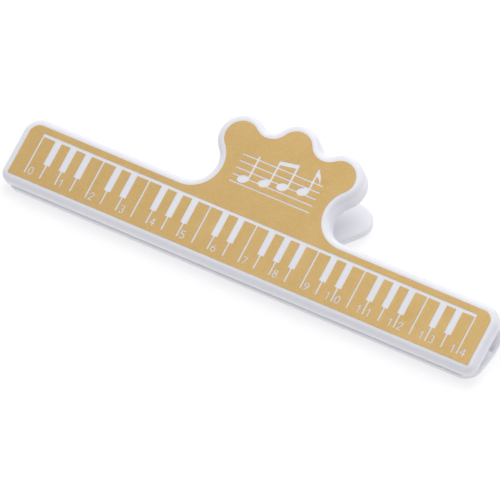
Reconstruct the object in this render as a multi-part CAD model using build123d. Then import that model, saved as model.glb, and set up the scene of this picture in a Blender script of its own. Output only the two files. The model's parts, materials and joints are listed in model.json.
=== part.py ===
from build123d import *
import os
from math import asin, atan2, cos, degrees, hypot, radians, sin, sqrt, tan

# Spring clip for music pages. All sizes are in millimetres.
#
# Each piece is drawn in the face frame: X runs along the bar from its middle, Y goes up from the
# bar's lower edge, and the printed face lies in the plane Z = 0 with the clip behind it, at
# negative Z. Where a name or a point says "depth", it is the distance behind the face.
# At the end, the closed clip is tipped onto its back, as it lies on a table.

# ---- front jaw ------------------------------------------------------------------------------------
BAR_LENGTH = 153.5
BAR_HEIGHT = 21.0
BAR_DEPTH = 3.4            # skirt of the bar, from the face to the edge that presses on the page
HANDLE_DEPTH = 6.6         # the handle's skirt is deeper, and hides the spring
FACE_THICKNESS = 2.0
SKIRT_THICKNESS = 1.7
EDGE_ROUND = 1.8           # rounding between the face and the skirt
TOP_CORNER = 5.2           # bar corners beside the handle
LOWER_CORNER = 3.2

HANDLE_X = -1.1            # the handle, the tab and the hinge stand a little left of the bar's middle
NECK_HALF = 18.8           # half the width of the handle at its neck
LOBE_X, LOBE_Y, LOBE_R = 15.8, 38.2, 7.2
CREST_Y, CREST_R = 41.3, 7.2
VALLEY_R = 3.2
DEEP_HALF = 23.0           # half the width of the deep part of the front jaw
DEEP_FROM = 17.5           # and where it starts above the bar's lower edge

RIB = 1.2                  # thickness of the moulded ribs
RIB_ROOT = 0.5             # how far ribs and lugs reach into the wall they grow from
RIB_RECESS = 0.3           # ribs end this far inside the skirt's edge
CROSS_RIB_BAYS = 10
HANDLE_RIB_X = 12.6
HANDLE_RIB_Y = (22.0, 40.5)
HANDLE_RIB_DEPTH = 4.4

# ---- rear jaw -------------------------------------------------------------------------------------
PLATE = 2.2                # thickness of the thumb tab
JAW_GAP = 0.2              # the lips close on a page, not on each other
LIP_DROP = 0.4             # the rear lip reaches this far below the front one
LIP_LAND = 1.6             # flat height of the rear lip, opposite the front jaw's lower skirt
LIP_DEPTH = 2.7
SLOPE_TOP = 11.3           # height where the slanted lower wall turns upright
UPRIGHT = 9.8              # depth of the upright wall's inner side
TAB_FROM = 19.0            # top of the upright wall, where the thumb tab leans back
TAB_LEAN = 31.0            # degrees
TAB_HEIGHT = 26.9          # along the tab, from TAB_FROM to its tip
TAB_CORNER_X, TAB_CORNER_Y, TAB_CORNER_R = 16.3, 16.8, 8.1
TAB_ROOT_HALF = 17.0
REAR_LENGTH = 152.8
REAR_CORNER = 5.0
REAR_TOP_CORNER = 3.0
REAR_ROUND = 0.8
REAR_BEND_ROUND = 5.0      # outside of the bend between the slanted and the upright wall

# ---- hinge and spring -----------------------------------------------------------------------------
PIN_Y, PIN_DEPTH = 21.0, 6.2
PIN_R = 1.25
PIN_LENGTH = 23.6
PIN_CHAMFER = 0.25
RUNNING = 0.05             # radial clearance of the pin in the rear lugs
LUG_R = 3.4
LUG_FOOT = 5.0             # half the width of a front lug where it meets the face plate
REAR_LUG_LOW, REAR_LUG_HIGH = 14.5, 27.0   # heights between which a rear lug meets its wall
REAR_LUG_X = (6.3, 8.8)
FRONT_LUG_X = (9.1, 11.6)
WIRE_R = 0.5
COIL_R = 2.1               # to the middle of the wire
COIL_TURNS = 10            # the last turn is open by the angle between the legs
COIL_PITCH = 1.05
LEG_LENGTH = 15.0
LEG_GAP = 0.15             # between a leg and the wall that it presses on

# ---- print ----------------------------------------------------------------------------------------
BORDER = 2.2               # from the print's edge to the outside of the jaw
PRINT_THICKNESS = 0.1
PRINT_CORNER = 0.2
SMALLEST_ISLAND = 0.1      # square millimetres; smaller islands of ink are left out
RULER_CM = 14
HALF_CM = 5.0
LINE_BOTTOM, LINE_TOP = 4.0, 16.4
LINE_W = 0.5
TOP_LINE_W = 1.0
KEY_W = 2.1
KEY_BOTTOM = 8.3
OCTAVE = 7                 # half centimetres from one C to the next
PLAIN_LINES = (0, 4)       # the lines of an octave without a black key
DIGIT_H, DIGIT_W, PEN = 2.6, 1.6, 0.36
DIGIT_Y = 5.2              # height of a digit's middle
DIGIT_OFFSET = 1.55        # from a ruler line to the middle of the digit beside it

STAFF_LINES = 5
STAFF_HALF = 13.0          # half the length of the staff
STAFF_FROM, STAFF_STEP = 25.3, 2.15
STAFF_LINE_W = 0.46
HEAD_LONG, HEAD_SHORT, HEAD_TILT = 1.75, 1.25, 22
STEM_W, STEM_H = 0.62, 8.0
BEAM_H = 1.35
NOTE_X = (-9.4, -3.2, 2.2, 8.2)
NOTE_RISE = (0.0, 1.1, 2.2, 3.2)   # height of each note above the first
FIRST_NOTE_Y = STAFF_FROM + 0.8 * STAFF_STEP
FLAG_W, FLAG_H = 1.9, 4.4

TOUCH = 0.01               # edges this near a plane lie in it
AT_HANDLE = Pos(HANDLE_X, 0, 0)


# ---- drawing helpers ------------------------------------------------------------------------------
def polar(centre, radius, angle):
    """The point at an angle, in degrees, on a circle."""
    return (centre[0] + radius * cos(radians(angle)), centre[1] + radius * sin(radians(angle)))


def bearing(start, end):
    """The direction from one point to another, in degrees."""
    return degrees(atan2(end[1] - start[1], end[0] - start[0]))


def arc(centre, radius, start, end):
    """The arc of a circle from one angle to another, in degrees."""
    return CenterArc(centre, radius, start, end - start)


def touching_circle(a, a_r, b, b_r, radius):
    """The centre of the circle, above the line from a to b, that touches both circles from outside."""
    span = hypot(b[0] - a[0], b[1] - a[1])
    along = ((a_r + radius) ** 2 - (b_r + radius) ** 2 + span**2) / (2 * span)
    up = sqrt((a_r + radius) ** 2 - along**2)
    ux, uy = (b[0] - a[0]) / span, (b[1] - a[1]) / span
    return (a[0] + ux * along - uy * up, a[1] + uy * along + ux * up)


def face_of_halves(right, left):
    """The face inside the right half of an outline and the mirror image of the left one."""
    return make_face([line.edge() for line in right + [mirror(line, Plane.YZ) for line in left]])


def slab(face, low, high):
    """A face of the XY plane, filled between two depths."""
    return Pos(0, 0, -high) * extrude(face, high - low)


def side_prism(points, x_range):
    """A prism along X with the corners given as (height, depth)."""
    low, high = x_range
    face = make_face(Polyline([(low, y, -depth) for y, depth in points], close=True))
    return extrude(face, high - low, dir=(1, 0, 0))


def both_sides(shape):
    """A shape drawn on the right of X = 0, and its mirror image, both moved to the handle."""
    return AT_HANDLE * (shape + mirror(shape, Plane.YZ))


def pin_cylinder(radius, x_range):
    """A cylinder round the pin's axis."""
    low, high = x_range
    return Pos((low + high) / 2, PIN_Y, -PIN_DEPTH) * Rot(0, 90, 0) * Cylinder(radius, high - low)


def lug(x_range, foot, bore_r):
    """One bored lug: an eye round the pin and a web down to its foot, a list of (height, depth)."""
    sides = [(PIN_Y + LUG_R, PIN_DEPTH), (PIN_Y - LUG_R, PIN_DEPTH)]
    web = side_prism(sides + foot, x_range)
    return web + pin_cylinder(LUG_R, x_range) - pin_cylinder(bore_r, x_range)


def half_jaw(reach, inset, lower_corner):
    """Half of the front jaw's outline, moved inwards by inset: from below the handle's middle, round
    the end of the bar at X = reach, and over the handle to its crest."""
    right, top = reach - inset, BAR_HEIGHT - inset
    corner = TOP_CORNER - inset
    crest, lobe = (0, CREST_Y), (LOBE_X, LOBE_Y)
    crest_r, lobe_r, valley_r = CREST_R - inset, LOBE_R - inset, VALLEY_R + inset
    valley = touching_circle(crest, crest_r, lobe, lobe_r, valley_r)
    # The neck's arc, of radius r, touches the bar's top edge, the neck's narrowest line and the lobe:
    # (dx + r)^2 + (dy + r)^2 = (lobe_r + r)^2.
    dx, dy = NECK_HALF - inset - LOBE_X, top - LOBE_Y
    b, c = 2 * (dx + dy - lobe_r), dx**2 + dy**2 - lobe_r**2
    neck_r = (-b - sqrt(b * b - 4 * c)) / 2
    neck = (NECK_HALF - inset + neck_r, top + neck_r)
    at_lobe, at_valley, at_crest = bearing(neck, lobe), bearing(lobe, valley), bearing(valley, crest)
    return [
        Line((0, inset), (right - lower_corner, inset)),
        arc((right - lower_corner, inset + lower_corner), lower_corner, -90, 0),
        Line((right, inset + lower_corner), (right, top - corner)),
        arc((right - corner, top - corner), corner, 0, 90),
        Line((right - corner, top), (neck[0], top)),
        arc(neck, neck_r, 270, at_lobe),
        arc(lobe, lobe_r, at_lobe - 180, at_valley),
        arc(valley, valley_r, at_valley - 180, at_crest - 360),
        arc(crest, crest_r, at_crest + 180, 90),
    ]


def jaw_outline(inset, lower_corner):
    """The front jaw's face outline, moved inwards by inset: a bar with a handle of three lobes."""
    right = half_jaw(BAR_LENGTH / 2 - HANDLE_X, inset, lower_corner)
    left = half_jaw(BAR_LENGTH / 2 + HANDLE_X, inset, lower_corner)
    return AT_HANDLE * face_of_halves(right, left)


# ---- front jaw ------------------------------------------------------------------------------------
def front_jaw():
    """The front shell: a face plate with a skirt all round, stiffening ribs and two hinge lugs."""
    outline = jaw_outline(0, LOWER_CORNER)
    rise = HANDLE_DEPTH - BAR_DEPTH
    ramp = Polyline([
        (-DEEP_HALF - rise, 0, -BAR_DEPTH), (-DEEP_HALF, 0, -HANDLE_DEPTH),
        (DEEP_HALF, 0, -HANDLE_DEPTH), (DEEP_HALF + rise, 0, -BAR_DEPTH),
    ], close=True)
    deep_zone = Pos(HANDLE_X, DEEP_FROM, 0) * extrude(make_face(ramp), 2 * BAR_HEIGHT, dir=(0, 1, 0))
    shell = slab(outline, 0, BAR_DEPTH) + (slab(outline, BAR_DEPTH, HANDLE_DEPTH) & deep_zone)
    shell = fillet(shell.edges().filter_by_position(Axis.Z, -TOUCH, TOUCH), EDGE_ROUND)
    inner = jaw_outline(SKIRT_THICKNESS, LOWER_CORNER - SKIRT_THICKNESS)
    shell -= slab(inner, FACE_THICKNESS, HANDLE_DEPTH)
    rib_base = FACE_THICKNESS - RIB_ROOT
    shell += slab(inner, rib_base, BAR_DEPTH - RIB_RECESS) & bar_ribs()
    low, high = HANDLE_RIB_Y
    middle = Pos(HANDLE_RIB_X, (low + high) / 2, -(rib_base + HANDLE_RIB_DEPTH) / 2)
    shell += both_sides(middle * Box(RIB, high - low, HANDLE_RIB_DEPTH - rib_base))
    foot = [(PIN_Y - LUG_FOOT, rib_base), (PIN_Y + LUG_FOOT, rib_base)]
    return shell + both_sides(lug(FRONT_LUG_X, foot, PIN_R)) - both_sides(pin_cylinder(PIN_R, FRONT_LUG_X))


def bar_ribs():
    """The grid of ribs behind the bar, as full-depth blocks that front_jaw() trims."""
    middle = Pos(0, BAR_HEIGHT / 2, -BAR_DEPTH / 2)
    grid = middle * Box(BAR_LENGTH, RIB, BAR_DEPTH)
    for i in range(1, CROSS_RIB_BAYS):
        x = BAR_LENGTH * (i / CROSS_RIB_BAYS - 0.5)
        grid += Pos(x, 0, 0) * middle * Box(RIB, BAR_HEIGHT, BAR_DEPTH)
    return grid


# ---- rear jaw -------------------------------------------------------------------------------------
def tab_plane():
    """The inner face of the thumb tab. Its own Y runs up and back along the tab."""
    lean = radians(TAB_LEAN)
    return Plane((0, TAB_FROM, -UPRIGHT), x_dir=(1, 0, 0), z_dir=(0, sin(lean), cos(lean)))


def tab_depth(height):
    """Depth of the tab's inner face at a height above the bar's lower edge."""
    return UPRIGHT + (height - TAB_FROM) * tan(radians(TAB_LEAN))


def tab_outline():
    """The thumb tab: straight sides that widen from the root, round corners and a shallow domed tip."""
    root, corner, r = (TAB_ROOT_HALF, 0), (TAB_CORNER_X, TAB_CORNER_Y), TAB_CORNER_R
    reach = hypot(corner[0] - root[0], corner[1] - root[1])
    side = bearing(root, corner) - degrees(asin(r / reach))
    # The dome's centre lies on the middle line, and the dome touches the corner's circle.
    rise = TAB_HEIGHT - r
    dome = (0, (corner[0] ** 2 + corner[1] ** 2 - rise**2) / (2 * (corner[1] - rise)))
    at_corner = bearing(dome, corner)
    half = [
        Line((0, 0), root),
        Line(root, polar(corner, r, side - 90)),
        arc(corner, r, side - 90, at_corner),
        arc(dome, TAB_HEIGHT - dome[1], at_corner, 90),
    ]
    return AT_HANDLE * face_of_halves(half, half)


def rear_bar_outline():
    """The rear bar seen from the front."""
    right = REAR_LENGTH / 2
    lower = (right - REAR_CORNER, REAR_CORNER - LIP_DROP)
    upper = (right - REAR_TOP_CORNER, TAB_FROM - REAR_TOP_CORNER)
    half = [
        Line((0, -LIP_DROP), (lower[0], -LIP_DROP)),
        arc(lower, REAR_CORNER, -90, 0),
        Line((right, lower[1]), (right, upper[1])),
        arc(upper, REAR_TOP_CORNER, 0, 90),
        Line((upper[0], TAB_FROM), (0, TAB_FROM)),
    ]
    return face_of_halves(half, half)


def rest_angle():
    """The angle of the table to the face, in degrees: the clip lies on its lower wall and tab tip."""
    lean = radians(TAB_LEAN)
    along, behind = TAB_HEIGHT - REAR_ROUND, PLATE - REAR_ROUND
    # From the lip's outer corner to the middle of the tip's rounding, as height and depth.
    dy = TAB_FROM + along * cos(lean) - behind * sin(lean) + LIP_DROP
    depth = UPRIGHT + along * sin(lean) + behind * cos(lean) - BAR_DEPTH - JAW_GAP - LIP_DEPTH
    return degrees(atan2(depth, dy) + asin(REAR_ROUND / hypot(dy, depth)))


def rear_jaw():
    """The rear shell: a bent bar whose lip meets the front jaw, a leaning thumb tab and two lugs."""
    lip = BAR_DEPTH + JAW_GAP
    outside = lip + LIP_DEPTH + (SLOPE_TOP + LIP_DROP) * tan(radians(rest_angle()))
    wall = side_prism([
        (-LIP_DROP, lip), (LIP_LAND, lip), (SLOPE_TOP, UPRIGHT), (TAB_FROM, UPRIGHT),
        (TAB_FROM, outside), (SLOPE_TOP, outside), (-LIP_DROP, lip + LIP_DEPTH),
    ], (-REAR_LENGTH / 2, REAR_LENGTH / 2))
    bends = wall.edges().filter_by(Axis.X).filter_by_position(Axis.Y, SLOPE_TOP - TOUCH, SLOPE_TOP + TOUCH)
    wall = fillet(bends.sort_by(Axis.Z)[0], REAR_BEND_ROUND) & slab(rear_bar_outline(), 0, 2 * outside)
    wall = fillet(wall.edges(), REAR_ROUND)
    tab = extrude(tab_plane() * tab_outline(), -PLATE)
    tab = fillet([e for e in tab.edges() if on_tab_face(e)], REAR_ROUND)
    foot = [(REAR_LUG_LOW, UPRIGHT + RIB_ROOT), (TAB_FROM, UPRIGHT + RIB_ROOT),
            (REAR_LUG_HIGH, tab_depth(REAR_LUG_HIGH) + RIB_ROOT)]
    return wall + tab + both_sides(lug(REAR_LUG_X, foot, PIN_R + RUNNING))


def on_tab_face(edge):
    """Whether an edge runs round the tab's front or back face, above its root."""
    centre = tab_plane().to_local_coords(edge.center())
    through = min(abs(centre.Z), abs(centre.Z + PLATE))
    return through < TOUCH and centre.Y > REAR_ROUND


# ---- hinge pin and spring -------------------------------------------------------------------------
def hinge_pin():
    """A plain steel pin, pressed into the front lugs."""
    pin = AT_HANDLE * pin_cylinder(PIN_R, (-PIN_LENGTH / 2, PIN_LENGTH / 2))
    return chamfer(pin.edges().filter_by(GeomType.CIRCLE), PIN_CHAMFER)


def leg_slant(wall_distance):
    """How far, in degrees, a leg leans towards a wall at this distance from the pin's axis."""
    drop = wall_distance - WIRE_R - LEG_GAP
    return degrees(asin(drop / hypot(LEG_LENGTH, COIL_R)) - atan2(COIL_R, LEG_LENGTH))


def torsion_spring():
    """A coil of round wire on the pin, with one leg on the face plate and one on the thumb tab."""
    tab_distance = (tab_depth(PIN_Y) - PIN_DEPTH) * cos(radians(TAB_LEAN))
    # Angles go round the pin from the upward direction towards the back, and the coil turns the
    # other way, from the front leg to the rear one.
    start = -90 - leg_slant(PIN_DEPTH - FACE_THICKNESS)
    end = 90 + TAB_LEAN + leg_slant(tab_distance)
    turned = 360 * COIL_TURNS - (end - start)
    length = COIL_PITCH * turned / 360
    helix = Helix(COIL_PITCH, length, COIL_R)
    front_end = helix @ 0 - (helix % 0) * LEG_LENGTH
    rear_end = helix @ 1 + (helix % 1) * LEG_LENGTH
    path = Wire([Edge.make_line(front_end, helix @ 0), helix.edge(), Edge.make_line(helix @ 1, rear_end)])
    wire = sweep(Plane(front_end, z_dir=helix % 0) * Circle(WIRE_R), path)
    first = (0, cos(radians(start)), -sin(radians(start)))
    return Plane((HANDLE_X - length / 2, PIN_Y, -PIN_DEPTH), x_dir=first, z_dir=(1, 0, 0)) * wire


# ---- print ----------------------------------------------------------------------------------------
def bar_at(x, low, high, width):
    """An upright bar of the print."""
    return Pos(x, (low + high) / 2) * Rectangle(width, high - low)


def pen(*lines):
    """The shape that a pen draws along some lines and arcs."""
    shape = Sketch()
    for line in lines:
        shape += trace(line, PEN)
    return shape


def ring(centre, radius):
    """The shape that the pen draws round a circle."""
    return Pos(*centre) * (Circle(radius + PEN / 2) - Circle(radius - PEN / 2))


def digit(number):
    """One digit, centred on the origin, drawn with a round-cornered plain stroke."""
    a, b = (DIGIT_W - PEN) / 2, (DIGIT_H - PEN) / 2
    bowl = b - a
    if number == 0:
        return Ellipse(DIGIT_W / 2, DIGIT_H / 2) - Ellipse(DIGIT_W / 2 - PEN, DIGIT_H / 2 - PEN)
    if number == 1:
        return pen(Line((0, -b - PEN / 2), (0, b + PEN / 2)), Line((0, b), (-a, b - a)))
    if number == 2:
        return pen(ThreePointArc((-a, bowl), (0, b), (a, bowl)), Line((a, bowl), (-a, -b)),
                   Line((-a - PEN / 2, -b), (a, -b)))
    if number == 3:
        return pen(arc((0, b / 2), b / 2, 160, -90), arc((0, -b / 2), b / 2, 90, -160))
    if number == 4:
        return pen(Line((a / 2, -b - PEN / 2), (a / 2, b)), Line((a / 2, b), (-a, -b / 3)),
                   Line((-a, -b / 3), (a + PEN / 2, -b / 3)))
    if number == 5:
        return pen(Line((a, b), (-a - PEN / 2, b)), Line((-a, b), (-a, 0)),
                   arc((-a / 4, -b / 2 + PEN / 4), b / 2 + PEN / 4, 135, -150))
    if number == 6:
        return ring((0, -bowl), a) + pen(ThreePointArc((-a, -bowl), (-a / 2, b / 3), (a, b)))
    if number == 7:
        return pen(Line((-a - PEN / 2, b), (a, b)), Line((a, b), (-a / 2, -b)))
    if number == 8:
        return ring((0, b / 2), 0.9 * b / 2) + ring((0, -b / 2), b / 2)
    return Rot(0, 0, 180) * digit(6)


def ruler():
    """The ruler as a keyboard: a line for each half centimetre, black keys and centimetre digits."""
    lines = 2 * RULER_CM
    shape = Pos(0, LINE_TOP) * Rectangle(HALF_CM * lines + LINE_W, TOP_LINE_W)
    for i in range(lines + 1):
        x = HALF_CM * (i - lines / 2)
        shape += bar_at(x, LINE_BOTTOM, LINE_TOP, LINE_W)
        if i % OCTAVE not in PLAIN_LINES:
            shape += bar_at(x, KEY_BOTTOM, LINE_TOP, KEY_W)
        if i % 2 == 0:
            tens, units = divmod(i // 2, 10)
            shape += Pos(x + DIGIT_OFFSET, DIGIT_Y) * digit(units)
            if tens:
                shape += Pos(x - DIGIT_OFFSET, DIGIT_Y) * digit(tens)
    return shape


def stem_top(i):
    """The upper outer corner of a note's stem."""
    return NOTE_X[i] + HEAD_LONG, FIRST_NOTE_Y + NOTE_RISE[i] + STEM_H


def note(i):
    """A note head with its stem."""
    right, top = stem_top(i)
    y = top - STEM_H
    return Pos(NOTE_X[i], y) * Rot(0, 0, HEAD_TILT) * Ellipse(HEAD_LONG, HEAD_SHORT) + bar_at(
        right - STEM_W / 2, y, top, STEM_W)


def beam(i, j):
    """The slanted bar that joins two stems."""
    (left, left_top), (right, right_top) = stem_top(i), stem_top(j)
    left -= STEM_W
    return make_face(Polyline([
        (left, left_top - BEAM_H), (right, right_top - BEAM_H), (right, right_top), (left, left_top),
    ], close=True))


def flag(i):
    """The curved flag of a single short note."""
    x, top = stem_top(i)
    left, tip = (x - STEM_W, top), (x + FLAG_W, top - FLAG_H)
    outer = Spline(left, (x + 0.7 * FLAG_W, top - 0.55 * FLAG_H), tip)
    inner = Spline(tip, (x + 0.5 * FLAG_W, top - 0.68 * FLAG_H), (x - STEM_W, top - 0.42 * FLAG_H))
    return make_face([outer.edge(), inner.edge(), Line(inner @ 1, left).edge()])


def motif():
    """A plain staff with a few notes."""
    shape = Sketch()
    for i in range(STAFF_LINES):
        shape += Pos(0, STAFF_FROM + STAFF_STEP * i) * Rectangle(2 * STAFF_HALF, STAFF_LINE_W)
    for i in range(len(NOTE_X)):
        shape += note(i)
    return shape + beam(1, 2) + flag(3)


def gold_print():
    """The thin printed layer, open where the ruler, the digits and the motif show the jaw's own plastic."""
    layer = jaw_outline(BORDER, PRINT_CORNER) - ruler() - AT_HANDLE * motif()
    islands = [face for face in layer.faces() if face.area > SMALLEST_ISLAND]
    return Part() + [extrude(face, PRINT_THICKNESS) for face in islands]


# ---- the clip lying on its back -------------------------------------------------------------------
pieces = {
    "front_jaw": front_jaw(),
    "gold_print": gold_print(),
    "rear_jaw": rear_jaw(),
    "hinge_pin": hinge_pin(),
    "torsion_spring": torsion_spring(),
}
tipped = {name: Rot(X=rest_angle()) * piece for name, piece in pieces.items()}
boxes = [piece.bounding_box() for piece in tipped.values()]
front_y, back_y = min(box.min.Y for box in boxes), max(box.max.Y for box in boxes)
on_table = Pos(0, -(front_y + back_y) / 2, -min(box.min.Z for box in boxes))

os.makedirs("parts", exist_ok=True)
for name, piece in tipped.items():
    export_step(on_table * piece, f"parts/{name}.step")
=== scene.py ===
import json
from math import asin, atan2, ceil, cos, degrees, hypot, pi, radians, sin

import bpy
from mathutils import Matrix, Vector


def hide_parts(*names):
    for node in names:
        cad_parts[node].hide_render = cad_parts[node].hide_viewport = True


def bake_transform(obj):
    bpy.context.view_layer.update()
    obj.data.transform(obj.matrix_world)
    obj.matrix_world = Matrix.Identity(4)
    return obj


# Spring clip for music pages, lying on its back. Everything is in metres, in the CAD model's frame.
MM = 0.001

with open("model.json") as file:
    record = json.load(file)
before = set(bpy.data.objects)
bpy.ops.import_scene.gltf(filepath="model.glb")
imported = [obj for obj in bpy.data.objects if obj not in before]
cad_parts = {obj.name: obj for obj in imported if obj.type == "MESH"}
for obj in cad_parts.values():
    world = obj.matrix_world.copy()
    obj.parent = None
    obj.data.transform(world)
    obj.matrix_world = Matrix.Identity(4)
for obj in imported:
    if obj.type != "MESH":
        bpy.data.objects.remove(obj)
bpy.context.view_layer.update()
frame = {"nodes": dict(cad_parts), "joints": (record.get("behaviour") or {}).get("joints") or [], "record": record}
nodes = frame["nodes"]
hinge = frame["joints"][0]

# ---- camera and light -----------------------------------------------------------------------------
CAMERA_AZIMUTH, CAMERA_ELEVATION, CAMERA_ROLL = 29.5, 45.5, 0.8     # degrees
CAMERA_DISTANCE = 2.2
CAMERA_AIM = (-2.0 * MM, -10.2 * MM, 2.2 * MM)
VIEW_WIDTH = 140.9 * MM            # what the frame spans at the aim point
SENSOR = 36.0

WORLD_COLOUR, WORLD_LIGHT = (0.93, 0.93, 1.0), 0.50
SOFT_BOXES = {                     # place and size in metres, and watts
    "top_box": ((0.0, 0.1, 1.1), 0.9, 5.6),
    "right_box": ((0.75, 0.5, 0.5), 0.5, 1.3),
    "left_box": ((-0.75, 0.35, 0.55), 0.5, 1.1),
    "back_box": ((-0.15, 0.8, 0.7), 0.6, 2.5),
}
FLOOR_SIZE = 8.0
FLOOR_DROP = 0.05 * MM             # keeps the floor clear of the faces that lie on it
FLOOR_GLOW = 0.63                  # a lit table, so that the clip throws only a faint shadow

# ---- finishes: base colours, linear ---------------------------------------------------------------
FRONT_WHITES = (0.80, 0.80, 0.83), (0.77, 0.77, 0.81)
REAR_WHITES = (0.78, 0.78, 0.81), (0.75, 0.75, 0.79)
GOLDS = (0.535, 0.345, 0.108), (0.585, 0.39, 0.14)
GOLD_MOTTLE = (0.61, 0.415, 0.16)
GOLD_GLINT = (0.82, 0.60, 0.30)
SPRING_STEEL = (0.60, 0.60, 0.62)
PIN_STEEL = (0.62, 0.62, 0.63)
FLOOR_GREYS = (0.38, 0.38, 0.38), (0.40, 0.40, 0.40)
PLASTIC_IOR = 1.52
EDGE_SOFTNESS = 0.25 * MM          # moulded edges look rounded by this radius

# ---- torsion spring, as in the CAD model ----------------------------------------------------------
WIRE_R = 0.5 * MM
COIL_R = 2.1 * MM                  # to the middle of the wire
COIL_TURNS = 10
COIL_PITCH = 1.05 * MM
LEG_LENGTH = 15.0 * MM
LEG_GAP = 0.05 * MM                # between a leg and the wall that it presses on, 0.15 mm in CAD
FACE_DISTANCE = 4.2 * MM           # from the pin's axis to the inside of the face plate
TAB_DISTANCE = 4.116 * MM          # and to the inside of the thumb tab
TAB_LEAN = 31.0                    # degrees, from the face plate's direction
STEPS_PER_TURN = 40
LEG_STEPS = 12
WIRE_SIDES = 20
END_RINGS = 4                      # rings of the rounded wire ends
TIP_SHARE = 0.02                   # radius of the last ring, as a share of the wire's


# ---- node helpers ---------------------------------------------------------------------------------
def new_material(name):
    """A material with an empty node tree apart from its shader and output."""
    material = bpy.data.materials.new(name)
    material.use_nodes = True
    tree = material.node_tree
    return material, tree, tree.nodes["Principled BSDF"]


def add(tree, kind, inputs=None, **settings):
    """A new node with some settings and input values. An input may be a socket to link from."""
    node = tree.nodes.new(kind)
    for name, value in settings.items():
        setattr(node, name, value)
    for name, value in (inputs or {}).items():
        if isinstance(value, bpy.types.NodeSocket):
            tree.links.new(value, node.inputs[name])
        else:
            node.inputs[name].default_value = value
    return node


def place(tree, stretch=(1, 1, 1)):
    """The point on the object in metres, stretched along the axes."""
    at = add(tree, "ShaderNodeTexCoord").outputs["Object"]
    return add(tree, "ShaderNodeMapping", {"Vector": at, "Scale": stretch}).outputs["Vector"]


def noise(tree, at, size, detail=2.0, rough=0.5):
    """Noise with features of a size in metres."""
    inputs = {"Vector": at, "Scale": 1 / size, "Detail": detail, "Roughness": rough}
    return add(tree, "ShaderNodeTexNoise", inputs).outputs["Fac"]


def spread(tree, value, low, high, start=0.3, end=0.7):
    """A value between start and end, mapped to the range from low to high."""
    inputs = {"Value": value, "From Min": start, "From Max": end, "To Min": low, "To Max": high}
    return add(tree, "ShaderNodeMapRange", inputs).outputs["Result"]


def blend_colours(tree, factor, first, second):
    """A mix of two colours, each given as (r, g, b) or as a socket."""
    node = add(tree, "ShaderNodeMix", data_type="RGBA")
    tree.links.new(factor, node.inputs["Factor"])
    for name, colour in (("A", first), ("B", second)):
        socket = next(s for s in node.inputs if s.name == name and s.type == "RGBA")
        if isinstance(colour, bpy.types.NodeSocket):
            tree.links.new(colour, socket)
        else:
            socket.default_value = (*colour, 1)
    return next(s for s in node.outputs if s.type == "RGBA")


def bump(tree, shader, height, depth, strength=1.0, edge_radius=0.0):
    """Relief of a depth in metres on the shader's normal, with sharp edges softened by a radius."""
    inputs = {"Height": height, "Distance": depth, "Strength": strength}
    if edge_radius:
        bevel = add(tree, "ShaderNodeBevel", {"Radius": edge_radius}, samples=6)
        inputs["Normal"] = bevel.outputs["Normal"]
    node = add(tree, "ShaderNodeBump", inputs)
    tree.links.new(node.outputs["Normal"], shader.inputs["Normal"])


# ---- materials ------------------------------------------------------------------------------------
def white_plastic(name, tint, shade):
    """Injection-moulded white polystyrene: faint flow marks, a fine orange peel and hairline scuffs."""
    material, tree, shader = new_material(name)
    at = place(tree)
    flow = noise(tree, place(tree, (0.25, 1, 1)), size=14 * MM, detail=3.0)
    speck = noise(tree, at, size=0.9 * MM, detail=4.0, rough=0.65)
    base = blend_colours(tree, spread(tree, flow, 0, 1), tint, shade)
    speckled = spread(tree, speck, 0, 0.25, start=0.45, end=0.8)
    base = blend_colours(tree, speckled, base, [0.94 * c for c in shade])
    tree.links.new(base, shader.inputs["Base Color"])
    scuff = noise(tree, place(tree, (0.06, 1, 1)), size=0.5 * MM, detail=3.0, rough=0.7)
    scuffed = spread(tree, scuff, 0.0, 0.12, start=0.5, end=0.75)
    gloss = spread(tree, flow, 0.26, 0.36)
    roughness = add(tree, "ShaderNodeMath", {0: scuffed, 1: gloss}, operation="ADD")
    tree.links.new(roughness.outputs[0], shader.inputs["Roughness"])
    peel = noise(tree, at, size=0.7 * MM, detail=3.0, rough=0.6)
    bump(tree, shader, peel, depth=0.012 * MM, strength=0.6, edge_radius=EDGE_SOFTNESS)
    shader.inputs["IOR"].default_value = PLASTIC_IOR
    shader.inputs["Subsurface Weight"].default_value = 0.12
    shader.inputs["Subsurface Radius"].default_value = (1.0, 0.9, 0.85)
    shader.inputs["Subsurface Scale"].default_value = 0.9 * MM
    return material


def gold_ink(name):
    """Screen-printed gold ink: bronze flakes in a satin binder, a little uneven in its density."""
    material, tree, shader = new_material(name)
    at = place(tree)
    density = noise(tree, at, size=9 * MM, detail=4.0, rough=0.6)
    mottle = noise(tree, at, size=0.8 * MM, detail=3.0, rough=0.6)
    flakes = add(tree, "ShaderNodeTexVoronoi", {"Vector": at, "Scale": 1 / (0.16 * MM)})
    rich = blend_colours(tree, spread(tree, density, 0, 1), *GOLDS)
    rich = blend_colours(tree, spread(tree, mottle, 0, 0.5), rich, GOLD_MOTTLE)
    glint = add(tree, "ShaderNodeSeparateColor", {"Color": flakes.outputs["Color"]}).outputs["Red"]
    shine = spread(tree, glint, 0.0, 0.22, start=0.6, end=1.0)
    rich = blend_colours(tree, shine, rich, GOLD_GLINT)
    tree.links.new(rich, shader.inputs["Base Color"])
    roughness = spread(tree, glint, 0.52, 0.36, start=0.2, end=1.0)
    tree.links.new(roughness, shader.inputs["Roughness"])
    bump(tree, shader, mottle, depth=0.008 * MM, strength=0.5)
    shader.inputs["Metallic"].default_value = 0.35
    return material


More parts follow.
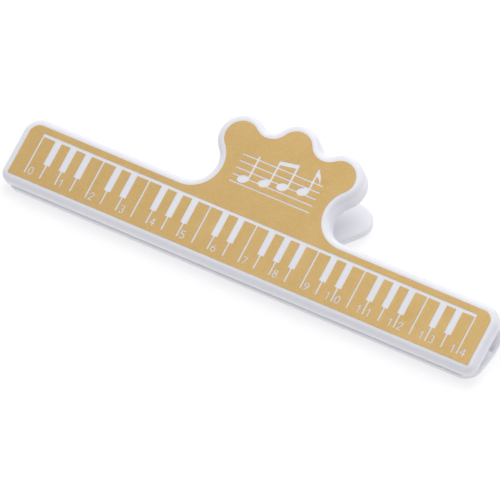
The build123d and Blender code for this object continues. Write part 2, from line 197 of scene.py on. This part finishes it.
def drawn_steel(name, tint, along, gloss):
    """Drawn steel wire: fine die lines along the wire, with a slight tarnish."""
    material, tree, shader = new_material(name)
    lines = noise(tree, place(tree, along), size=0.12 * MM, detail=2.0, rough=0.6)
    tarnish = noise(tree, place(tree), size=2.5 * MM, detail=4.0, rough=0.6)
    metal = blend_colours(tree, spread(tree, tarnish, 0, 1), tint, [0.8 * c for c in tint])
    metal = blend_colours(tree, spread(tree, lines, 0, 0.35), metal, [0.6 * c for c in tint])
    tree.links.new(metal, shader.inputs["Base Color"])
    roughness = spread(tree, lines, gloss - 0.07, gloss + 0.1)
    tree.links.new(roughness, shader.inputs["Roughness"])
    bump(tree, shader, lines, depth=0.006 * MM, strength=0.6)
    shader.inputs["Metallic"].default_value = 1.0
    return material


def floor_paint(name):
    """The pale matt floor, lit from below."""
    material, tree, shader = new_material(name)
    fleck = noise(tree, place(tree), size=30 * MM, detail=3.0)
    base = blend_colours(tree, spread(tree, fleck, 0, 1), *FLOOR_GREYS)
    tree.links.new(base, shader.inputs["Base Color"])
    shader.inputs["Roughness"].default_value = 0.9
    shader.inputs["Specular IOR Level"].default_value = 0.2
    shader.inputs["Emission Color"].default_value = (1.0, 1.0, 1.0, 1)
    shader.inputs["Emission Strength"].default_value = FLOOR_GLOW
    return material


# ---- spring ---------------------------------------------------------------------------------------
def leg_slant(wall_distance):
    """How far, in degrees, a leg leans towards a wall at this distance from the pin's axis."""
    drop = wall_distance - WIRE_R - LEG_GAP
    return degrees(asin(drop / hypot(LEG_LENGTH, COIL_R)) - atan2(COIL_R, LEG_LENGTH))


def spring_path(centre, up, back):
    """The middle line of the wire: the front leg, the coil round the pin, and the rear leg."""
    start = -90 - leg_slant(FACE_DISTANCE)
    end = 90 + TAB_LEAN + leg_slant(TAB_DISTANCE)
    turned = 360 * COIL_TURNS - (end - start)
    steps = ceil(STEPS_PER_TURN * turned / 360)
    along = Vector((1, 0, 0))
    coil = []
    for i in range(steps + 1):
        share = i / steps
        angle = radians(start - turned * share)
        axial = COIL_PITCH * turned / 360 * (share - 0.5)
        coil.append(centre + along * axial + (up * cos(angle) + back * sin(angle)) * COIL_R)

    def leg(degrees_round):
        """The wire's direction at this angle round the coil, as long as a leg."""
        angle = radians(degrees_round)
        forward = along * COIL_PITCH / (2 * pi) + (up * sin(angle) - back * cos(angle)) * COIL_R
        return forward.normalized() * LEG_LENGTH

    front_leg = [coil[0] - leg(start) * (1 - i / LEG_STEPS) for i in range(LEG_STEPS)]
    rear_leg = [coil[-1] + leg(end) * ((i + 1) / LEG_STEPS) for i in range(LEG_STEPS)]
    return front_leg + coil + rear_leg


def rounded_ends(path, radius):
    """The path with extra points at its ends, and a wire radius for each point: the ends are domed."""
    bend = [pi / 2 * (i + 1) / END_RINGS for i in range(END_RINGS)]
    reach = [radius * sin(b) for b in bend]
    radii = [radius * cos(b) for b in bend[:-1]] + [radius * TIP_SHARE]
    into, out = (path[1] - path[0]).normalized(), (path[-1] - path[-2]).normalized()
    head = [path[0] + into * (radius - r) for r in reversed(reach)]
    tail = [path[-1] - out * (radius - r) for r in reach]
    trimmed = [path[0] + into * radius] + path[1:-1] + [path[-1] - out * radius]
    return head + trimmed + tail, radii[::-1] + [radius] * len(trimmed) + radii


def wire_mesh(name, path, radius, material):
    """A round wire along a path, as a closed mesh."""
    path, radii = rounded_ends(path, radius)
    verts, faces = [], []
    side = (path[1] - path[0]).orthogonal().normalized()
    for i, point in enumerate(path):
        ahead = (path[min(i + 1, len(path) - 1)] - path[max(i - 1, 0)]).normalized()
        side = (side - ahead * side.dot(ahead)).normalized()
        across = ahead.cross(side)
        for k in range(WIRE_SIDES):
            turn = 2 * pi * k / WIRE_SIDES
            verts.append(point + (side * cos(turn) + across * sin(turn)) * radii[i])
    for i in range(len(path) - 1):
        for k in range(WIRE_SIDES):
            a, b = i * WIRE_SIDES + k, i * WIRE_SIDES + (k + 1) % WIRE_SIDES
            faces.append((a, b, b + WIRE_SIDES, a + WIRE_SIDES))
    last = (len(path) - 1) * WIRE_SIDES
    faces.append(tuple(reversed(range(WIRE_SIDES))))
    faces.append(tuple(range(last, last + WIRE_SIDES)))
    mesh = bpy.data.meshes.new(name)
    mesh.from_pydata([tuple(v) for v in verts], [], faces)
    mesh.polygons.foreach_set("use_smooth", [True] * len(faces))
    mesh.materials.append(material)
    piece = bpy.data.objects.new(name, mesh)
    bpy.context.scene.collection.objects.link(piece)
    return piece


def make_spring():
    """The spring stands for its CAD solid, built once between the jaws at rest."""
    face_mount = next(m for m in frame["record"]["mounts"] if m["name"] == "ruler_face")
    front = Vector(face_mount["axis"])
    back = -front
    up = front.cross(Vector((1, 0, 0)))
    centre = Vector(hinge["pos_m"])
    steel = drawn_steel("spring_steel", SPRING_STEEL, along=(0.15, 1, 1), gloss=0.28)
    spring = wire_mesh("coil_spring", spring_path(centre, up, back), WIRE_R, steel)
    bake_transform(spring)
    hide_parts("torsion_spring")


# ---- the rest of the clip -------------------------------------------------------------------------
def finish_nodes():
    """Materials of the CAD nodes that stay."""
    finishes = {
        "front_jaw": white_plastic("front_white", *FRONT_WHITES),
        "rear_jaw": white_plastic("rear_white", *REAR_WHITES),
        "gold_print": gold_ink("gold_print_ink"),
        "hinge_pin": drawn_steel("pin_steel", PIN_STEEL, along=(0.05, 1, 1), gloss=0.25),
    }
    for name, material in finishes.items():
        nodes[name].material_slots[0].material = material


# ---- stage ----------------------------------------------------------------------------------------
def make_camera():
    """A long lens at the photographer's place."""
    data = bpy.data.cameras.new("camera")
    data.sensor_width = SENSOR
    data.lens = SENSOR * CAMERA_DISTANCE / VIEW_WIDTH
    camera = bpy.data.objects.new("camera", data)
    turn = (Matrix.Rotation(radians(CAMERA_AZIMUTH), 4, "Z")
            @ Matrix.Rotation(radians(90 - CAMERA_ELEVATION), 4, "X")
            @ Matrix.Rotation(radians(CAMERA_ROLL), 4, "Z"))
    away = turn.to_3x3() @ Vector((0, 0, CAMERA_DISTANCE))
    camera.matrix_world = Matrix.Translation(Vector(CAMERA_AIM) + away) @ turn
    bpy.context.scene.collection.objects.link(camera)
    bpy.context.scene.camera = camera


def soft_box(name, place_at, size, watts):
    """A square soft box that faces the clip and that the camera doesn't see."""
    data = bpy.data.lights.new(name, "AREA")
    data.shape = "SQUARE"
    data.size = size
    data.energy = watts
    light = bpy.data.objects.new(name, data)
    light.location = place_at
    light.rotation_euler = (-Vector(place_at)).to_track_quat("-Z", "Y").to_euler()
    light.visible_camera = False
    bpy.context.scene.collection.objects.link(light)


def make_stage():
    """The floor, the room's light and the soft boxes."""
    half = FLOOR_SIZE / 2
    around = (-half, -half), (half, -half), (half, half), (-half, half)
    corners = [(x, y, -FLOOR_DROP) for x, y in around]
    mesh = bpy.data.meshes.new("floor")
    mesh.from_pydata(corners, [], [(0, 1, 2, 3)])
    mesh.materials.append(floor_paint("floor_paint"))
    floor = bpy.data.objects.new("floor", mesh)
    bpy.context.scene.collection.objects.link(floor)
    world = bpy.data.worlds.new("room")
    world.use_nodes = True
    sky = world.node_tree.nodes["Background"]
    sky.inputs["Color"].default_value = (*WORLD_COLOUR, 1)
    sky.inputs["Strength"].default_value = WORLD_LIGHT
    bpy.context.scene.world = world
    bpy.context.scene.view_settings.view_transform = "Standard"
    for name, (place_at, size, watts) in SOFT_BOXES.items():
        soft_box(name, place_at, size, watts)


make_camera()
make_stage()
finish_nodes()
make_spring()
